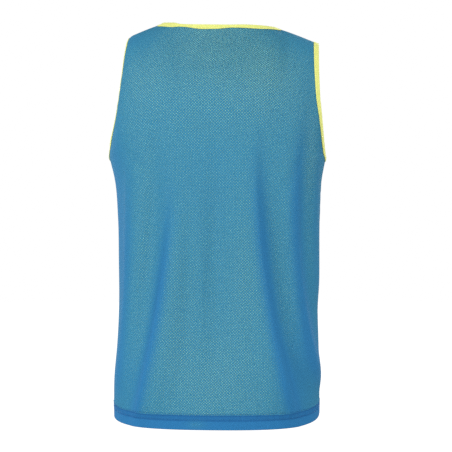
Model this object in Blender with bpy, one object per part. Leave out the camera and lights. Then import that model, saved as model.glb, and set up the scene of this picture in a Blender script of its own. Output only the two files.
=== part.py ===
"""A reversible mesh training bib in the hollow shape that it keeps when it is worn.

Metres, +Z up. The origin is at the shoulders that hold the bib up: the wearer's middle plane, on the line
of the shoulder seams, at the height of the higher neck point. The wearer faces +Y and their left is -X, so
the back panel lies at -Y. "Drop" is the distance straight down from the origin's height.

The bib is a sea-blue outer layer and a yellow inner layer, each cut as a back and a front, with yellow tape
folded over both layers round the neck and the armholes. The side and shoulder seams all lie in the plane
y = 0, and the layers stop short of it by half a seam gap.
"""

import math

import bmesh
import bpy
import numpy as np
from mathutils import Vector
from mathutils.bvhtree import BVHTree

# Driving dimensions
BODY_LENGTH = 0.685
UNDERARM_DROP = 0.236
HALF_ARMHOLE_DROP = 0.150
CLOTH = 0.0012
SEAM_GAP = 0.0003
HEM_DEPTH = 0.025
HEM_RAISE = 0.0007
HEM_STEP = 0.0015
BACK_HEM_DIP = 0.017
TAPE = 0.0009
TAPE_WIDTH = 0.009
TAPE_GAP = 0.0004
FOLD_GAP = 0.0007
LIFT_PASSES = 10
SQUARENESS = 2.3
DIP_POWER = 3.2
NECK_LEAN = 4

# Grid of each panel: columns across the neck and each shoulder, rows up the body, the armhole and the yoke.
# The surface is worked out FINE times as closely, and every FINE-th point is used.
NECK_COLUMNS = 18
SHOULDER_COLUMNS = 6
BODY_ROWS = 9
ARM_ROWS = 4
YOKE_ROWS = 6
NECK_SHARE = 0.62
FINE = 4

# Level rings below the armholes: drop, reach to the wearer's left and right, depth behind and before
RING_COLUMNS = ("drop", "left", "right", "back", "front")
RINGS = (
    (0.236, 0.1915, 0.1900, 0.127, 0.124),
    (0.272, 0.1825, 0.1830, 0.127, 0.124),
    (0.340, 0.1765, 0.1790, 0.122, 0.120),
    (0.420, 0.1750, 0.1770, 0.117, 0.116),
    (0.500, 0.1745, 0.1755, 0.116, 0.115),
    (0.560, 0.1770, 0.1770, 0.119, 0.117),
    (0.620, 0.1820, 0.1785, 0.123, 0.120),
    (0.690, 0.1825, 0.1780, 0.127, 0.124),
)

# Where the shoulder seams start and end, for the wearer's left and right
SHOULDERS = {
    "left": {"neck_x": -0.1010, "neck_drop": 0.000, "tip_x": -0.1650, "tip_drop": 0.0245},
    "right": {"neck_x": 0.1050, "neck_drop": 0.0095, "tip_x": 0.1760, "tip_drop": 0.0365},
}

# How each panel is cut and how it turns at the armholes half way up. Curl is how far round the edge turns,
# and roll is how far the last of the cloth bends under along the left armhole.
PANELS = {
    "back": {
        "sign": -1, "neck_reach": 0.036, "neck_fall": 0.0055, "yoke_depth": 0.124, "yoke_drop": 0.168,
        "edge_depth": 0.058, "neck_slope": 60,
        "left_edge": -0.1735, "left_curl": 82, "right_edge": 0.1820, "right_curl": 56, "left_roll": 75,
    },
    "front": {
        "sign": 1, "neck_reach": 0.074, "neck_fall": 0.092, "yoke_depth": 0.118, "yoke_drop": 0.200,
        "edge_depth": 0.056, "neck_slope": 70,
        "left_edge": -0.1640, "left_curl": 66, "right_edge": 0.1700, "right_curl": 62, "left_roll": 20,
    },
}
SHOULDER_SLOPE = 6
ROLL_WIDTH = 0.016
SHOULDER_ROLL = 60
FAN = 0.62
WAY_SPREAD = 0.09
TOP_PULL = 0.80
LOW_PULL = 1.15

# Large folds: a crest that runs down through three points, steep on one side and easy on the other.
# Steep is +1 where the steep side faces +X and -1 where it faces -X. All lengths are in metres.
FOLD_COLUMNS = ("panel", "x_top", "drop_top", "x_mid", "drop_mid", "x_low", "drop_low",
                "steep", "steep_width", "easy_width", "height")
FOLDS = (
    ("back", -0.060, 0.25, -0.075, 0.43, -0.120, 0.66, -1, 0.015, 0.045, 0.017),
    ("back", 0.072, 0.17, 0.082, 0.42, 0.128, 0.66, 1, 0.015, 0.045, 0.017),
    ("back", 0.157, 0.12, 0.136, 0.39, 0.160, 0.57, 1, 0.014, 0.030, 0.013),
    ("back", 0.172, 0.13, 0.170, 0.30, 0.172, 0.44, 1, 0.010, 0.016, 0.005),
    ("back", -0.142, 0.19, -0.144, 0.40, -0.160, 0.60, -1, 0.015, 0.030, 0.009),
    ("front", -0.074, 0.21, -0.092, 0.42, -0.112, 0.67, -1, 0.016, 0.045, 0.014),
    ("front", 0.078, 0.22, 0.086, 0.44, 0.120, 0.66, 1, 0.016, 0.045, 0.015),
    ("front", 0.012, 0.30, 0.004, 0.50, -0.012, 0.68, 1, 0.030, 0.040, 0.005),
)
FOLD_FADE = 0.22
LOW_FADE = 0.10
HEM_HOLD = 0.35
SEAM_FADE = 0.020

COLOURS = {
    "outer": (0.027, 0.184, 0.413),
    "lining": (0.780, 0.810, 0.130),
    "tape": (0.800, 0.830, 0.150),
}
CLOTH_ROUGHNESS = 0.75


def clear_scene():
    for old in list(bpy.data.objects):
        bpy.data.objects.remove(old)


def hermite(start, start_pull, end, end_pull, s):
    """The cubic from start to end that leaves and arrives along the two pulls."""
    return (
        (2 * s**3 - 3 * s**2 + 1) * start
        + (s**3 - 2 * s**2 + s) * start_pull
        + (3 * s**2 - 2 * s**3) * end
        + (s**3 - s**2) * end_pull
    )


def eased(share):
    """A soft step from 0 at share 0 to 1 at share 1."""
    share = np.clip(share, 0, 1)
    return share * share * (3 - 2 * share)


def ring_value(column, drop):
    """A smooth curve down one column of RINGS, with slopes taken from the neighbouring rows."""
    places = np.array([row[0] for row in RINGS])
    values = np.array([row[RING_COLUMNS.index(column)] for row in RINGS])
    slopes = np.gradient(values, places)
    k = int(np.clip(np.searchsorted(places, drop) - 1, 0, len(places) - 2))
    span = places[k + 1] - places[k]
    s = (drop - places[k]) / span
    return float(hermite(values[k], slopes[k] * span, values[k + 1], slopes[k + 1] * span, s))


def evenly_spaced(points, shares):
    """Points at the given shares of a dense line's length."""
    steps = np.linalg.norm(np.diff(points, axis=0), axis=1)
    along = np.concatenate([[0.0], np.cumsum(steps)]) / steps.sum()
    return np.stack([np.interp(shares, along, points[:, axis]) for axis in range(3)], axis=1)


def arc_section(panel, edges, depth, edge_depth, curls, drops):
    """One section from the left edge to the right edge: part of a squared ellipse that turns by each curl."""
    turn = np.linspace(-1, 1, 801)
    curl = np.radians(np.where(turn < 0, curls[0], curls[1]))
    angle = turn * curl
    power = 2 / SQUARENESS
    across = np.abs(np.sin(angle)) ** power / np.sin(curl) ** power
    fall = (1 - np.clip(np.cos(angle), 0, 1) ** power) / (1 - np.clip(np.cos(curl), 0, 1) ** power)
    x = np.where(turn < 0, edges[0], edges[1]) * across
    y = panel["sign"] * (depth - (depth - edge_depth) * fall)
    middle_drop, edge_drop = drops
    z = -(middle_drop + (edge_drop - middle_drop) * np.abs(turn) ** DIP_POWER)
    return np.stack([x, y, z], axis=1)


def body_section(panel, drop):
    """A level half ring between the side seams. The back hem hangs a little lower in its middle."""
    edges = -ring_value("left", drop), ring_value("right", drop)
    depth = ring_value("back" if panel["sign"] < 0 else "front", drop)
    low = np.clip((drop - 0.45) / (BODY_LENGTH - 0.45), 0, 1) ** 2
    dip = BACK_HEM_DIP * low if panel["sign"] < 0 else 0
    return arc_section(panel, edges, depth, 0.0, (90, 90), (drop + dip, drop))


def arm_section(panel, share):
    """A section beside the armholes, from the underarm at share 0 to half way up the armhole at share 1."""
    turn = math.radians(90 * share)
    edge_depth = panel["edge_depth"] * math.sin(turn)
    edge_drop = UNDERARM_DROP - (UNDERARM_DROP - HALF_ARMHOLE_DROP) * (1 - math.cos(turn))
    middle_drop = UNDERARM_DROP + (panel["yoke_drop"] - UNDERARM_DROP) * share
    edges = (
        hermite(-ring_value("left", UNDERARM_DROP), 0.004, panel["left_edge"], 0.012, share),
        hermite(ring_value("right", UNDERARM_DROP), -0.004, panel["right_edge"], -0.012, share),
    )
    ring_depth = ring_value("back" if panel["sign"] < 0 else "front", UNDERARM_DROP)
    depth = ring_depth + (panel["yoke_depth"] - ring_depth) * share
    curls = 90 + (panel["left_curl"] - 90) * share, 90 + (panel["right_curl"] - 90) * share
    return arc_section(panel, edges, depth, edge_depth, curls, (middle_drop, edge_drop))


def column_shares():
    """Where the fine columns stand, from -1 at the left edge to 1 at the right edge."""
    neck = np.linspace(-NECK_SHARE, NECK_SHARE, NECK_COLUMNS * FINE + 1)
    shoulder = np.linspace(NECK_SHARE, 1, SHOULDER_COLUMNS * FINE + 1)[1:]
    return np.concatenate([-shoulder[::-1], neck, shoulder])


def top_edge(panel, columns):
    """The shoulder seams and the neckline, a point for each column."""
    left, right = SHOULDERS["left"], SHOULDERS["right"]
    turn = np.radians(np.linspace(-90, 90, 801))
    middle, half = (left["neck_x"] + right["neck_x"]) / 2, (right["neck_x"] - left["neck_x"]) / 2
    lean = (np.sin(turn) + 1) / 2
    neck = np.stack([
        middle + half * np.sin(turn),
        panel["sign"] * panel["neck_reach"] * np.cos(turn),
        -(left["neck_drop"] + (right["neck_drop"] - left["neck_drop"]) * lean**NECK_LEAN)
        - panel["neck_fall"] * np.cos(turn) ** 1.5,
    ], axis=1)
    inside = np.abs(columns) <= NECK_SHARE + 1e-9
    points = np.zeros((len(columns), 3))
    points[inside] = evenly_spaced(neck, (columns[inside] / NECK_SHARE + 1) / 2)
    for seam, chosen in ((left, columns < -NECK_SHARE - 1e-9), (right, columns > NECK_SHARE + 1e-9)):
        out = (np.abs(columns[chosen]) - NECK_SHARE) / (1 - NECK_SHARE)
        points[chosen, 0] = seam["neck_x"] + (seam["tip_x"] - seam["neck_x"]) * out
        points[chosen, 2] = -(seam["neck_drop"] + (seam["tip_drop"] - seam["neck_drop"]) * out**1.15)
    return points


def leaving_ways(panel, columns):
    """The way each column leaves the top edge. Near the neck's corners the columns fan out sideways."""
    side, size = np.sign(columns), np.abs(columns)
    turn = np.radians(90) * np.clip(size / NECK_SHARE, 0, 1)
    width = SHOULDERS["right"]["neck_x"]
    fan = FAN * np.arctan2(np.sin(turn) / width, np.cos(turn) / panel["neck_reach"])
    fan *= np.clip((1 - size) / (1 - NECK_SHARE), 0, 1) ** 1.5
    falls = {name: (seam["tip_drop"] - seam["neck_drop"]) / abs(seam["tip_x"] - seam["neck_x"])
             for name, seam in SHOULDERS.items()}
    sideways = np.where(side < 0, falls["left"], falls["right"]) * np.clip(size / NECK_SHARE, 0, 1)
    shoulder = eased((size - 0.30) / (NECK_SHARE + 0.06 - 0.30))
    slope = np.radians(panel["neck_slope"] + (SHOULDER_SLOPE - panel["neck_slope"]) * shoulder)
    ways = np.stack([
        side * np.sin(fan),
        panel["sign"] * np.cos(fan),
        -(np.sin(fan) * sideways + np.cos(fan) * np.tan(slope)),
    ], axis=1)
    ways = ways / np.linalg.norm(ways, axis=1)[:, None]
    nearness = np.exp(-(((columns[:, None] - columns) / WAY_SPREAD) ** 2))
    ways = nearness @ ways
    return ways / np.linalg.norm(ways, axis=1)[:, None]


def yoke_row(top, ways, low, low_direction, share):
    """A row between the top edge at share 0 and half way up the armhole at share 1."""
    reach = np.linalg.norm(low - top, axis=1)[:, None]
    return hermite(top, ways * reach * TOP_PULL, low, low_direction * reach * LOW_PULL, share)


def fold_height(name, x, drop):
    """How far the large folds lift the cloth at each point."""
    lift = np.zeros_like(x)
    for row in FOLDS:
        fold = dict(zip(FOLD_COLUMNS, row))
        if fold["panel"] != name:
            continue
        drops = [fold["drop_top"], fold["drop_mid"], fold["drop_low"]]
        crest = np.polyval(np.polyfit(drops, [fold["x_top"], fold["x_mid"], fold["x_low"]], 2), drop)
        off = (x - crest) * fold["steep"]
        width = np.where(off > 0, fold["steep_width"], fold["easy_width"])
        grown = eased((drop - fold["drop_top"]) / FOLD_FADE)
        grown = grown * (1 - eased((drop - fold["drop_low"]) / LOW_FADE))
        lift += fold["height"] * grown * np.exp(-((off / width) ** 2))
    near_hem = np.clip((drop - (BODY_LENGTH - 0.09)) / 0.09, 0, 1)
    return lift * (1 - (1 - HEM_HOLD) * near_hem**2)


def surface_normals(points, sign, columns, underarm_row):
    """Outward normals of a grid. At the seams they lie in the seam plane, where both panels meet."""
    normals = np.cross(np.gradient(points, axis=1), np.gradient(points, axis=0))
    normals /= np.linalg.norm(normals, axis=2)[:, :, None]
    normals *= -sign
    normals[: underarm_row + 1, (0, -1), 1] = 0
    normals[-1, np.abs(columns) >= NECK_SHARE - 1e-9, 1] = 0
    return normals / np.linalg.norm(normals, axis=2)[:, :, None]


def row_sections(panel, columns):
    """Every fine row of a panel from the hem up, and the index of the underarm's row."""
    shares = (columns + 1) / 2
    band = BODY_LENGTH - HEM_DEPTH
    above = np.linspace(band - HEM_STEP, UNDERARM_DROP, BODY_ROWS * FINE + 1)
    drops = [*np.linspace(BODY_LENGTH, band, FINE + 1), *np.linspace(band, above[0], FINE + 1)[1:], *above[1:]]
    rows = [evenly_spaced(body_section(panel, drop), shares) for drop in drops]
    underarm_row = len(rows) - 1
    for share in np.linspace(0, 1, ARM_ROWS * FINE + 1)[1:]:
        rows.append(evenly_spaced(arm_section(panel, share), shares))
    low_direction = rows[-1] - evenly_spaced(arm_section(panel, 0.97), shares)
    low_direction *= -1 / np.linalg.norm(low_direction, axis=1)[:, None]
    top, ways, low = top_edge(panel, columns), leaving_ways(panel, columns), rows[-1]
    for share in np.linspace(1, 0, YOKE_ROWS * FINE + 1)[1:]:
        rows.append(yoke_row(top, ways, low, low_direction, share))
    return np.array(rows), underarm_row


def roll_left_edge(panel, points, normals, underarm_row):
    """Bend the last of the cloth under along the left armhole, the same on both panels at the shoulder."""
    rows = len(points) - 1 - underarm_row
    for i in range(underarm_row + 1, len(points)):
        up = (i - underarm_row) / rows
        rise = eased((up - 0.15) / 0.35)
        over = eased((up - 0.6) / 0.4)
        bend = math.radians(panel["left_roll"] * rise * (1 - over) + SHOULDER_ROLL * over)
        if bend < 0.01:
            continue
        lengths = np.linalg.norm(np.diff(points[i], axis=0), axis=1)
        from_edge = np.concatenate([[0.0], np.cumsum(lengths)])
        start = int(np.searchsorted(from_edge, ROLL_WIDTH))
        width = from_edge[start]
        foot, out = points[i, start].copy(), normals[i, start]
        toward = points[i, start - 1] - points[i, start]
        toward -= out * (toward @ out)
        toward /= np.linalg.norm(toward)
        for j in range(start):
            turn = bend * (width - from_edge[j]) / width
            reach, sink = width / bend * math.sin(turn), width / bend * (1 - math.cos(turn))
            points[i, j] = foot + toward * reach - out * sink
    return points


def panel_grid(name):
    """Points and outward normals of a panel's outer face, from the hem up, left edge to right edge."""
    panel = PANELS[name]
    sign = panel["sign"]
    columns = column_shares()
    points, underarm_row = row_sections(panel, columns)
    normals = surface_normals(points, sign, columns, underarm_row)
    from_seam = np.clip(np.abs(points[:, :, 1]) / SEAM_FADE, 0, 1)
    lift = fold_height(name, points[:, :, 0], -points[:, :, 2]) * from_seam
    points = points + normals * lift[:, :, None]
    normals = surface_normals(points, sign, columns, underarm_row)
    points = roll_left_edge(panel, points, normals, underarm_row)
    normals = surface_normals(points, sign, columns, underarm_row)
    points[:, :, 1] += sign * SEAM_GAP / 2
    return {
        "points": points[::FINE, ::FINE],
        "normals": normals[::FINE, ::FINE],
        "columns": columns[::FINE],
        "underarm_row": underarm_row // FINE,
    }


def wall_mesh(name, face, back):
    """A closed wall between two grids of points that have the same rows and columns."""
    rows, columns = face.shape[:2]
    mesh = bpy.data.meshes.new(name)
    shell = bmesh.new()
    outer = [[shell.verts.new(face[i, j]) for j in range(columns)] for i in range(rows)]
    inner = [[shell.verts.new(back[i, j]) for j in range(columns)] for i in range(rows)]
    for i in range(rows - 1):
        for j in range(columns - 1):
            shell.faces.new((outer[i][j], outer[i][j + 1], outer[i + 1][j + 1], outer[i + 1][j]))
            shell.faces.new((inner[i][j], inner[i + 1][j], inner[i + 1][j + 1], inner[i][j + 1]))
    rim = [(0, j) for j in range(columns)] + [(i, columns - 1) for i in range(1, rows)]
    rim += [(rows - 1, j) for j in range(columns - 2, -1, -1)] + [(i, 0) for i in range(rows - 2, 0, -1)]
    for (i, j), (k, m) in zip(rim, rim[1:] + rim[:1]):
        shell.faces.new((outer[k][m], outer[i][j], inner[i][j], inner[k][m]))
    bmesh.ops.recalc_face_normals(shell, faces=shell.faces)
    shell.to_mesh(mesh)
    shell.free()
    return mesh


def cloth_material(name, kind):
    material = bpy.data.materials.new(name)
    material.use_nodes = True
    shader = material.node_tree.nodes["Principled BSDF"]
    shader.inputs["Base Color"].default_value = (*COLOURS[kind], 1)
    shader.inputs["Roughness"].default_value = CLOTH_ROUGHNESS
    shader.inputs["Metallic"].default_value = 0
    return material


def add_object(name, mesh, material, collection):
    mesh.materials.append(material)
    mesh.shade_smooth()
    mesh.set_sharp_from_angle(angle=math.radians(50))
    made = bpy.data.objects.new(name, mesh)
    collection.objects.link(made)
    return made


def outer_layer(name, grid):
    """The blue layer. Its turned-up hem is double, so the wall's outer face stands out there."""
    raised = grid["points"].copy()
    raised[:2] += grid["normals"][:2] * HEM_RAISE
    return wall_mesh(name, raised, grid["points"] - grid["normals"] * CLOTH)


def inner_layer(name, grid):
    """The yellow layer, a seam gap inside the blue one."""
    face = grid["points"] - grid["normals"] * (CLOTH + SEAM_GAP)
    return wall_mesh(name, face, face - grid["normals"] * CLOTH)


def evened(ways):
    """Unit directions round a loop, each averaged with its neighbours a few times."""
    for _ in range(3):
        ways = ways / np.linalg.norm(ways, axis=1)[:, None]
        ways = ways * 2 + np.roll(ways, 1, axis=0) + np.roll(ways, -1, axis=0)
    return ways / np.linalg.norm(ways, axis=1)[:, None]


def edge_loop(back, front, kind):
    """Stations round an opening: points on the cloth's edge, the wall's way out there, evened, and ways in."""
    if kind == "neck":
        chosen = (-1, np.flatnonzero(np.abs(back["columns"]) <= NECK_SHARE + 1e-9))
    else:
        chosen = (slice(back["underarm_row"], None), 0 if kind == "left" else -1)
    points = np.concatenate([back["points"][chosen][:-1], front["points"][chosen][:0:-1]])
    normals = np.concatenate([back["normals"][chosen][:-1], front["normals"][chosen][:0:-1]])
    points[[0, len(points) // 2], 1] = 0
    points = np.stack([points, (points + np.roll(points, -1, axis=0)) / 2], axis=1).reshape(-1, 3)
    normals = np.stack([normals, (normals + np.roll(normals, -1, axis=0)) / 2], axis=1).reshape(-1, 3)
    even_normals = evened(normals)
    along = np.roll(points, -1, axis=0) - np.roll(points, 1, axis=0)
    inward = evened(np.cross(even_normals, along))
    if ((points - points.mean(axis=0)) * inward).sum() < 0:
        inward = -inward
    return points, normals, even_normals, inward


def wall_tree(meshes):
    """A search tree over several walls."""
    points, faces = [], []
    for mesh in meshes:
        start = len(points)
        points += [tuple(vertex.co) for vertex in mesh.vertices]
        mesh.calc_loop_triangles()
        faces += [[start + index for index in face.vertices] for face in mesh.loop_triangles]
    return BVHTree.FromPolygons(points, faces)


def height_over_wall(tree, point, out):
    """How far a point stands off the wall along the way out, or 1 where there is no wall under it."""
    start = Vector(point + out * 0.010)
    hit, _, _, distance = tree.ray_cast(start, Vector(-out), 0.030)
    return 1.0 if hit is None else distance - 0.010


def leg_lines(tree, points, inward, out):
    """The two long edges of a leg of tape, a tape's width in and at the cloth's edge, both off the wall."""
    deep = []
    for point, into, way in zip(points, inward, out):
        near = point + into * TAPE_WIDTH
        height = height_over_wall(tree, near, way)
        deep.append(near - way * (height if height < 0.5 else 0))
    lines = [np.array(deep), points.copy()]
    lift = np.full(len(points), TAPE_GAP)
    steps = np.linspace(0.03, 0.97, 8)
    for _ in range(LIFT_PASSES):
        deep, edge = [line + out * lift[:, None] for line in lines]
        for k in range(len(points)):
            following = (k + 1) % len(points)
            way = out[k] + out[following]
            way = way / np.linalg.norm(way)
            paths = (
                (deep[k], deep[following]), (deep[k], edge[k]), (deep[following], edge[following]),
                (deep[k], edge[following]), (deep[following], edge[k]),
                ((deep[k] + edge[k]) / 2, (deep[following] + edge[following]) / 2),
                (edge[k] * 0.9 + deep[k] * 0.1, edge[following] * 0.9 + deep[following] * 0.1),
            )
            heights = [
                height_over_wall(tree, start * (1 - step) + end * step, way)
                for start, end in paths
                for step in steps
            ]
            lack = max(0.0, TAPE_GAP - min(heights))
            lift[k] += lack * 0.6
            lift[following] += lack * 0.6
    return [line + out * lift[:, None] for line in lines]


def tape_mesh(name, loop, outer_tree, inner_tree):
    """Tape folded over the edge: a leg on the blue face, a round fold past the edge, a leg on the yellow face."""
    points, rim_ways, normals, inward = loop
    stack = 2 * CLOTH + SEAM_GAP
    past = -inward * FOLD_GAP
    outer_deep, outer_edge = leg_lines(outer_tree, points, inward, normals)
    inner_deep, inner_edge = leg_lines(inner_tree, points - rim_ways * stack, inward, -normals)
    outer_edge = outer_edge + past
    inner_edge = inner_edge + past
    thick = normals * TAPE
    bulge = -inward * TAPE * 1.3
    upper = outer_edge * 0.7 + inner_edge * 0.3 + bulge
    lower = outer_edge * 0.3 + inner_edge * 0.7 + bulge
    rings = np.stack([
        outer_deep + thick, outer_edge + thick, upper, lower, inner_edge - thick, inner_deep - thick,
        inner_deep, inner_edge, outer_edge, outer_deep,
    ], axis=1)
    mesh = bpy.data.meshes.new(name)
    tape = bmesh.new()
    verts = [[tape.verts.new(point) for point in ring] for ring in rings]
    # A four-sided cell folds along the diagonal from its first corner, so both faces of a leg start alike
    for ring, following in zip(verts, verts[1:] + verts[:1]):
        for j in range(len(ring)):
            after = (j + 1) % len(ring)
            cell = (ring[j], ring[after], following[after], following[j])
            cloth_side = j >= 6
            tape.faces.new(cell[1:] + cell[:1] if cloth_side else cell)
    bmesh.ops.recalc_face_normals(tape, faces=tape.faces)
    tape.to_mesh(mesh)
    tape.free()
    return mesh


def build_bib():
    clear_scene()
    collection = bpy.data.collections.new("Mesh training bib")
    bpy.context.scene.collection.children.link(collection)
    outer = cloth_material("Blue mesh", "outer")
    lining = cloth_material("Yellow mesh", "lining")
    tape = cloth_material("Yellow tape", "tape")
    grids = {name: panel_grid(name) for name in PANELS}
    outer_walls = {name: outer_layer(f"outer_{name}", grid) for name, grid in grids.items()}
    inner_walls = {name: inner_layer(f"inner_{name}", grid) for name, grid in grids.items()}
    for name in PANELS:
        add_object(f"outer_{name}", outer_walls[name], outer, collection)
        add_object(f"inner_{name}", inner_walls[name], lining, collection)
    outer_tree, inner_tree = wall_tree(outer_walls.values()), wall_tree(inner_walls.values())
    for kind, name in (("neck", "neck_binding"), ("left", "armhole_binding_left"),
                       ("right", "armhole_binding_right")):
        loop = edge_loop(grids["back"], grids["front"], kind)
        add_object(name, tape_mesh(name, loop, outer_tree, inner_tree), tape, collection)


build_bib()
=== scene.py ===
# %% [markdown]
# A reversible mesh training bib
#
# The real bib is two thin layers of open polyester mesh, sea blue outside and yellow inside, cut as a
# back and a front and joined at the sides and shoulders. Yellow tape is folded over both layers round
# the neck and the armholes, and the blue layer ends in a turned-up hem with two rows of stitching.
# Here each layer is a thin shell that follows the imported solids, with finer folds, real holes in the
# blue mesh and the sewing added on top.

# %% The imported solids
import math

import bpy
import numpy as np
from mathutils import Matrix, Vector
from mathutils.bvhtree import BVHTree


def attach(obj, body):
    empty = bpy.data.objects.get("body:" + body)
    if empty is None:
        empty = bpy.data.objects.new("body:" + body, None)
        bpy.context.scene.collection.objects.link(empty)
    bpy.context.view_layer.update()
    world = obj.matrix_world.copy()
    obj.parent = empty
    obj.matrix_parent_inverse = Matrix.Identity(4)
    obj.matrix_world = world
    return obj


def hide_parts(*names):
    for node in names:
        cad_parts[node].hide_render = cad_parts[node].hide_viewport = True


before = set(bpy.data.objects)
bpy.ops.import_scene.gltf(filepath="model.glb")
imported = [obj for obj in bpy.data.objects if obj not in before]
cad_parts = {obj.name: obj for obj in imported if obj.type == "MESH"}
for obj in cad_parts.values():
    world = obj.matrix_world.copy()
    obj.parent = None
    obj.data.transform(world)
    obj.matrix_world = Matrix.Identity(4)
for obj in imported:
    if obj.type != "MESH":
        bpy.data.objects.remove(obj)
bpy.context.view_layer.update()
print("solids:", sorted(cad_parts))

# %% [markdown]
# The camera
#
# The bib was pictured from behind, level with its middle, from a few degrees towards the wearer's right.
# A long lens three metres away gives the same gentle perspective.

# %% Camera
CAMERA_TURN = math.radians(5)
CAMERA_DISTANCE = 3.0
VIEW_WIDTH = 0.7978
VIEW_CENTRE_ACROSS = 0.014
VIEW_CENTRE_Z = -0.3565


def add_object(name, data):
    made = bpy.data.objects.new(name, data)
    bpy.context.scene.collection.objects.link(made)
    return made


def add_camera():
    camera = add_object("Camera", bpy.data.cameras.new("Camera"))
    camera.data.sensor_width = 36
    camera.data.lens = 36 * CAMERA_DISTANCE / VIEW_WIDTH
    back = Vector((math.sin(CAMERA_TURN), -math.cos(CAMERA_TURN), 0))
    side = Vector((math.cos(CAMERA_TURN), math.sin(CAMERA_TURN), 0))
    target = side * VIEW_CENTRE_ACROSS + Vector((0, 0, VIEW_CENTRE_Z))
    camera.location = target + back * CAMERA_DISTANCE
    camera.rotation_euler = back.to_track_quat("Z", "Y").to_euler()
    bpy.context.scene.camera = camera
    return camera


print("lens:", round(add_camera().data.lens, 1), "mm")

# %% [markdown]
# Sizes of the garment
#
# These are the same driving sizes that the solids were cut from, so that every shell lies on its solid.
# Lengths are in metres. The back lies at -Y, the wearer's left at -X, and "drop" is the distance below
# the higher neck point.

# %% Sizes
BODY_LENGTH = 0.685
UNDERARM_DROP = 0.236
HALF_ARMHOLE_DROP = 0.150
HEM_DEPTH = 0.025
HEM_RAISE = 0.0007
HEM_STEP = 0.0015
BACK_HEM_DIP = 0.017
SQUARENESS = 2.3
DIP_POWER = 3.2
NECK_LEAN = 4
NECK_SHARE = 0.62
NECK_STEPS = 108
SHOULDER_STEPS = 36
HEM_STEPS = 24
BODY_STEPS = 60
ARM_STEPS = 24
YOKE_STEPS = 36

RING_COLUMNS = ("drop", "left", "right", "back", "front")
RINGS = (
    (0.236, 0.1915, 0.1900, 0.127, 0.124),
    (0.272, 0.1825, 0.1830, 0.127, 0.124),
    (0.340, 0.1765, 0.1790, 0.122, 0.120),
    (0.420, 0.1750, 0.1770, 0.117, 0.116),
    (0.500, 0.1745, 0.1755, 0.116, 0.115),
    (0.560, 0.1770, 0.1770, 0.119, 0.117),
    (0.620, 0.1820, 0.1785, 0.123, 0.120),
    (0.690, 0.1825, 0.1780, 0.127, 0.124),
)
SHOULDERS = {
    "left": {"neck_x": -0.1010, "neck_drop": 0.000, "tip_x": -0.1650, "tip_drop": 0.0245},
    "right": {"neck_x": 0.1050, "neck_drop": 0.0095, "tip_x": 0.1760, "tip_drop": 0.0365},
}
PANELS = {
    "back": {
        "sign": -1, "neck_reach": 0.036, "neck_fall": 0.0055, "yoke_depth": 0.124, "yoke_drop": 0.168,
        "edge_depth": 0.058, "neck_slope": 60,
        "left_edge": -0.1735, "left_curl": 82, "right_edge": 0.1820, "right_curl": 56, "left_roll": 75,
    },
    "front": {
        "sign": 1, "neck_reach": 0.074, "neck_fall": 0.092, "yoke_depth": 0.118, "yoke_drop": 0.200,
        "edge_depth": 0.056, "neck_slope": 70,
        "left_edge": -0.1640, "left_curl": 66, "right_edge": 0.1700, "right_curl": 62, "left_roll": 20,
    },
}
SHOULDER_SLOPE = 6
ROLL_WIDTH = 0.016
SHOULDER_ROLL = 60
FAN = 0.62
WAY_SPREAD = 0.09
TOP_PULL = 0.80
LOW_PULL = 1.15
print("rows:", 1 + HEM_STEPS + BODY_STEPS + ARM_STEPS + YOKE_STEPS,
      "columns:", 1 + NECK_STEPS + 2 * SHOULDER_STEPS)

# %% [markdown]
# Folds and creases
#
# A bib of slippery mesh hangs from the shoulders in a few long folds, steep on one side and easy on the
# other. The large ones are in the solids already. Between them lie soft creases, which are told one by
# one: each is a bent line over the panel, with a width and a height that is below zero for a trough.
# They are uneven on purpose, because even ones would look like pleats.

# %% Fold and crease tables
FOLD_COLUMNS = ("panel", "x_top", "drop_top", "x_mid", "drop_mid", "x_low", "drop_low",
                "steep", "steep_width", "easy_width", "height")
FOLDS = (
    ("back", -0.060, 0.25, -0.075, 0.43, -0.120, 0.66, -1, 0.015, 0.045, 0.017),
    ("back", 0.072, 0.17, 0.082, 0.42, 0.128, 0.66, 1, 0.015, 0.045, 0.017),
    ("back", 0.157, 0.12, 0.136, 0.39, 0.160, 0.57, 1, 0.014, 0.030, 0.013),
    ("back", 0.172, 0.13, 0.170, 0.30, 0.172, 0.44, 1, 0.010, 0.016, 0.005),
    ("back", -0.142, 0.19, -0.144, 0.40, -0.160, 0.60, -1, 0.015, 0.030, 0.009),
    ("front", -0.074, 0.21, -0.092, 0.42, -0.112, 0.67, -1, 0.016, 0.045, 0.014),
    ("front", 0.078, 0.22, 0.086, 0.44, 0.120, 0.66, 1, 0.016, 0.045, 0.015),
    ("front", 0.012, 0.30, 0.004, 0.50, -0.012, 0.68, 1, 0.030, 0.040, 0.005),
)
FOLD_FADE = 0.22
LOW_FADE = 0.10
STEEPER = 0.80
FULL_FLANK = 0.014
FLANK_MIDDLE = 0.75
HEM_HOLD = 0.35
HOLD_REACH = 0.09
SEAM_FADE = 0.020

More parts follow.
